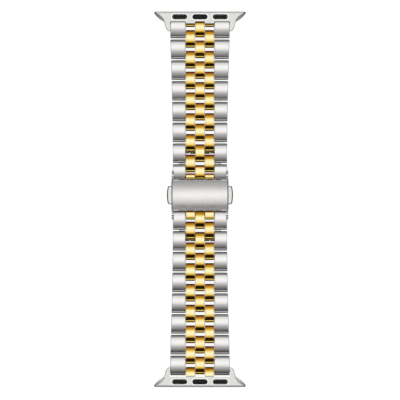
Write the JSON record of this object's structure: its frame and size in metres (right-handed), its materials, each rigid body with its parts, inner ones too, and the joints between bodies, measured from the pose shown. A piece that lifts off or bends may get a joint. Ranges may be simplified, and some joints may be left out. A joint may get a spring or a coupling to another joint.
{
  "type": "five link watch bracelet",
  "caption": "Two-tone five column link bracelet with a folding push-button clasp and slide-in lug adapters.",
  "frame": {"origin": "on the resting surface under the middle of the bracelet's bounding box", "axes": "+X across the band to the right, +Y along the band to the upper lug adapter, +Z out of the band's outer face"},
  "size_m": [0.037, 0.15, 0.0063],
  "materials": {
    "steel_links": "brushed",
    "gold_beads": "polished gold plate",
    "steel_cover": "brushed",
    "steel_clasp": "satin",
    "steel_lugs": "fine satin",
    "pins": "turned",
    "springs": "drawn wire",
    "black_pads": "smooth",
    "black_latches": "glossy"
  },
  "bodies": {
    "clasp": {"clasp_bridge": "steel_clasp", "clasp_cover": "steel_cover", "clasp_pins": "pins", "pusher_springs": "springs"},
    "pusher_left": {"pusher_left": "steel_clasp"},
    "pusher_right": {"pusher_right": "steel_clasp"},
    "wing_upper": {"wing_upper": "steel_clasp"},
    "row_upper_1": {"pinned_outer_links_upper_1": "steel_links", "centre_bead_upper_1": "gold_beads"},
    "beads_upper_1": {"side_beads_upper_1": "gold_beads"},
    "row_upper_2": {"pinned_outer_links_upper_2": "steel_links", "centre_bead_upper_2": "gold_beads"},
    "beads_upper_2": {"side_beads_upper_2": "gold_beads"},
    "row_upper_3": {"pinned_outer_links_upper_3": "steel_links", "centre_bead_upper_3": "gold_beads"},
    "beads_upper_3": {"side_beads_upper_3": "gold_beads"},
    "row_upper_4": {"pinned_outer_links_upper_4": "steel_links", "centre_bead_upper_4": "gold_beads"},
    "beads_upper_4": {"side_beads_upper_4": "gold_beads"},
    "row_upper_5": {"pinned_outer_links_upper_5": "steel_links", "centre_bead_upper_5": "gold_beads"},
    "beads_upper_5": {"side_beads_upper_5": "gold_beads"},
    "row_upper_6": {"pinned_outer_links_upper_6": "steel_links", "centre_bead_upper_6": "gold_beads"},
    "beads_upper_6": {"side_beads_upper_6": "gold_beads"},
    "row_upper_7": {"pinned_outer_links_upper_7": "steel_links", "centre_bead_upper_7": "gold_beads"},
    "beads_upper_7": {"side_beads_upper_7": "gold_beads"},
    "row_upper_8": {"pinned_outer_links_upper_8": "steel_links", "centre_bead_upper_8": "gold_beads"},
    "lug_upper": {"lug_upper": "steel_lugs", "rail_pads_upper": "black_pads"},
    "latch_upper": {"latch_upper": "black_latches"},
    "wing_lower": {"wing_lower": "steel_clasp"},
    "row_lower_1": {"pinned_outer_links_lower_1": "steel_links", "centre_bead_lower_1": "gold_beads"},
    "beads_lower_1": {"side_beads_lower_1": "gold_beads"},
    "row_lower_2": {"pinned_outer_links_lower_2": "steel_links", "centre_bead_lower_2": "gold_beads"},
    "beads_lower_2": {"side_beads_lower_2": "gold_beads"},
    "row_lower_3": {"pinned_outer_links_lower_3": "steel_links", "centre_bead_lower_3": "gold_beads"},
    "beads_lower_3": {"side_beads_lower_3": "gold_beads"},
    "row_lower_4": {"pinned_outer_links_lower_4": "steel_links", "centre_bead_lower_4": "gold_beads"},
    "beads_lower_4": {"side_beads_lower_4": "gold_beads"},
    "row_lower_5": {"pinned_outer_links_lower_5": "steel_links", "centre_bead_lower_5": "gold_beads"},
    "beads_lower_5": {"side_beads_lower_5": "gold_beads"},
    "row_lower_6": {"pinned_outer_links_lower_6": "steel_links", "centre_bead_lower_6": "gold_beads"},
    "beads_lower_6": {"side_beads_lower_6": "gold_beads"},
    "row_lower_7": {"pinned_outer_links_lower_7": "steel_links", "centre_bead_lower_7": "gold_beads"},
    "beads_lower_7": {"side_beads_lower_7": "gold_beads"},
    "row_lower_8": {"pinned_outer_links_lower_8": "steel_links", "centre_bead_lower_8": "gold_beads"},
    "lug_lower": {"lug_lower": "steel_lugs", "rail_pads_lower": "black_pads"},
    "latch_lower": {"latch_lower": "black_latches"}
  },
  "joints": [
    {"name": "clasp_push_left", "type": "slide", "parent": "clasp", "child": "pusher_left", "axis": [1, 0, 0], "range_m": [0, 0.0009], "stiffness_N_per_m": 600, "springref_m": -0.002, "deforming": ["pusher_springs"]},
    {"name": "clasp_push_right", "type": "slide", "parent": "clasp", "child": "pusher_right", "axis": [-1, 0, 0], "range_m": [0, 0.0009], "stiffness_N_per_m": 600, "springref_m": -0.002, "deforming": ["pusher_springs"]},
    {"name": "clasp_wing_upper", "type": "hinge", "parent": "clasp", "child": "wing_upper", "pos_m": [0, 0.01918, 0.0012], "axis": [-1, 0, 0], "range_deg": [0, 155]},
    {"name": "clasp_bar_upper", "type": "hinge", "parent": "wing_upper", "child": "row_upper_1", "pos_m": [0, 0.00942, 0.004], "axis": [-1, 0, 0], "range_deg": [-155, 0]},
    {"name": "link_upper_1_a", "type": "hinge", "parent": "row_upper_1", "child": "beads_upper_1", "pos_m": [0, 0.0122, 0.004], "axis": [-1, 0, 0], "range_deg": [-4, 1]},
    {"name": "link_upper_1_b", "type": "hinge", "parent": "beads_upper_1", "child": "row_upper_2", "pos_m": [0, 0.01635, 0.004], "axis": [-1, 0, 0], "range_deg": [-4, 1]},
    {"name": "link_upper_2_a", "type": "hinge", "parent": "row_upper_2", "child": "beads_upper_2", "pos_m": [0, 0.0205, 0.004], "axis": [-1, 0, 0], "range_deg": [-4, 15]},
    {"name": "link_upper_2_b", "type": "hinge", "parent": "beads_upper_2", "child": "row_upper_3", "pos_m": [0, 0.02465, 0.004], "axis": [-1, 0, 0], "range_deg": [-4, 15]},
    {"name": "link_upper_3_a", "type": "hinge", "parent": "row_upper_3", "child": "beads_upper_3", "pos_m": [0, 0.0288, 0.004], "axis": [-1, 0, 0], "range_deg": [-4, 15]},
    {"name": "link_upper_3_b", "type": "hinge", "parent": "beads_upper_3", "child": "row_upper_4", "pos_m": [0, 0.03295, 0.004], "axis": [-1, 0, 0], "range_deg": [-4, 15]},
    {"name": "link_upper_4_a", "type": "hinge", "parent": "row_upper_4", "child": "beads_upper_4", "pos_m": [0, 0.0371, 0.004], "axis": [-1, 0, 0], "range_deg": [-4, 15]},
    {"name": "link_upper_4_b", "type": "hinge", "parent": "beads_upper_4", "child": "row_upper_5", "pos_m": [0, 0.04125, 0.004], "axis": [-1, 0, 0], "range_deg": [-4, 15]},
    {"name": "link_upper_5_a", "type": "hinge", "parent": "row_upper_5", "child": "beads_upper_5", "pos_m": [0, 0.0454, 0.004], "axis": [-1, 0, 0], "range_deg": [-4, 15]},
    {"name": "link_upper_5_b", "type": "hinge", "parent": "beads_upper_5", "child": "row_upper_6", "pos_m": [0, 0.04955, 0.004], "axis": [-1, 0, 0], "range_deg": [-4, 15]},
    {"name": "link_upper_6_a", "type": "hinge", "parent": "row_upper_6", "child": "beads_upper_6", "pos_m": [0, 0.0537, 0.004], "axis": [-1, 0, 0], "range_deg": [-4, 15]},
    {"name": "link_upper_6_b", "type": "hinge", "parent": "beads_upper_6", "child": "row_upper_7", "pos_m": [0, 0.05785, 0.004], "axis": [-1, 0, 0], "range_deg": [-4, 15]},
    {"name": "link_upper_7_a", "type": "hinge", "parent": "row_upper_7", "child": "beads_upper_7", "pos_m": [0, 0.062, 0.004], "axis": [-1, 0, 0], "range_deg": [-4, 15]},
    {"name": "link_upper_7_b", "type": "hinge", "parent": "beads_upper_7", "child": "row_upper_8", "pos_m": [0, 0.06615, 0.004], "axis": [-1, 0, 0], "range_deg": [-4, 15]},
    {"name": "lug_upper", "type": "hinge", "parent": "row_upper_8", "child": "lug_upper", "pos_m": [0, 0.0703, 0.004], "axis": [-1, 0, 0], "range_deg": [-4, 15]},
    {"name": "latch_upper", "type": "slide", "parent": "lug_upper", "child": "latch_upper", "axis": [0, 0, -1], "range_m": [0, 0.0004], "stiffness_N_per_m": 300, "springref_m": -0.001},
    {"name": "clasp_wing_lower", "type": "hinge", "parent": "clasp", "child": "wing_lower", "pos_m": [0, -0.01582, 0.0012], "axis": [1, 0, 0], "range_deg": [0, 155]},
    {"name": "clasp_bar_lower", "type": "hinge", "parent": "wing_lower", "child": "row_lower_1", "pos_m": [0, -0.00607, 0.004], "axis": [1, 0, 0], "range_deg": [-155, 0]},
    {"name": "link_lower_1_a", "type": "hinge", "parent": "row_lower_1", "child": "beads_lower_1", "pos_m": [0, -0.01035, 0.004], "axis": [1, 0, 0], "range_deg": [-4, 1]},
    {"name": "link_lower_1_b", "type": "hinge", "parent": "beads_lower_1", "child": "row_lower_2", "pos_m": [0, -0.0145, 0.004], "axis": [1, 0, 0], "range_deg": [-4, 1]},
    {"name": "link_lower_2_a", "type": "hinge", "parent": "row_lower_2", "child": "beads_lower_2", "pos_m": [0, -0.01865, 0.004], "axis": [1, 0, 0], "range_deg": [-4, 15]},
    {"name": "link_lower_2_b", "type": "hinge", "parent": "beads_lower_2", "child": "row_lower_3", "pos_m": [0, -0.0228, 0.004], "axis": [1, 0, 0], "range_deg": [-4, 15]},
    {"name": "link_lower_3_a", "type": "hinge", "parent": "row_lower_3", "child": "beads_lower_3", "pos_m": [0, -0.02695, 0.004], "axis": [1, 0, 0], "range_deg": [-4, 15]},
    {"name": "link_lower_3_b", "type": "hinge", "parent": "beads_lower_3", "child": "row_lower_4", "pos_m": [0, -0.0311, 0.004], "axis": [1, 0, 0], "range_deg": [-4, 15]},
    {"name": "link_lower_4_a", "type": "hinge", "parent": "row_lower_4", "child": "beads_lower_4", "pos_m": [0, -0.03525, 0.004], "axis": [1, 0, 0], "range_deg": [-4, 15]},
    {"name": "link_lower_4_b", "type": "hinge", "parent": "beads_lower_4", "child": "row_lower_5", "pos_m": [0, -0.0394, 0.004], "axis": [1, 0, 0], "range_deg": [-4, 15]},
    {"name": "link_lower_5_a", "type": "hinge", "parent": "row_lower_5", "child": "beads_lower_5", "pos_m": [0, -0.04355, 0.004], "axis": [1, 0, 0], "range_deg": [-4, 15]},
    {"name": "link_lower_5_b", "type": "hinge", "parent": "beads_lower_5", "child": "row_lower_6", "pos_m": [0, -0.0477, 0.004], "axis": [1, 0, 0], "range_deg": [-4, 15]},
    {"name": "link_lower_6_a", "type": "hinge", "parent": "row_lower_6", "child": "beads_lower_6", "pos_m": [0, -0.05185, 0.004], "axis": [1, 0, 0], "range_deg": [-4, 15]},
    {"name": "link_lower_6_b", "type": "hinge", "parent": "beads_lower_6", "child": "row_lower_7", "pos_m": [0, -0.056, 0.004], "axis": [1, 0, 0], "range_deg": [-4, 15]},
    {"name": "link_lower_7_a", "type": "hinge", "parent": "row_lower_7", "child": "beads_lower_7", "pos_m": [0, -0.06015, 0.004], "axis": [1, 0, 0], "range_deg": [-4, 15]},
    {"name": "link_lower_7_b", "type": "hinge", "parent": "beads_lower_7", "child": "row_lower_8", "pos_m": [0, -0.0643, 0.004], "axis": [1, 0, 0], "range_deg": [-4, 15]},
    {"name": "lug_lower", "type": "hinge", "parent": "row_lower_8", "child": "lug_lower", "pos_m": [0, -0.06845, 0.004], "axis": [1, 0, 0], "range_deg": [-4, 15]},
    {"name": "latch_lower", "type": "slide", "parent": "lug_lower", "child": "latch_lower", "axis": [0, 0, -1], "range_m": [0, 0.0004], "stiffness_N_per_m": 300, "springref_m": -0.001}
  ],
  "couplings": [
    {"joint": "clasp_bar_upper", "follows": "clasp_wing_upper", "ratio": -1},
    {"joint": "clasp_bar_lower", "follows": "clasp_wing_lower", "ratio": -1}
  ]
}
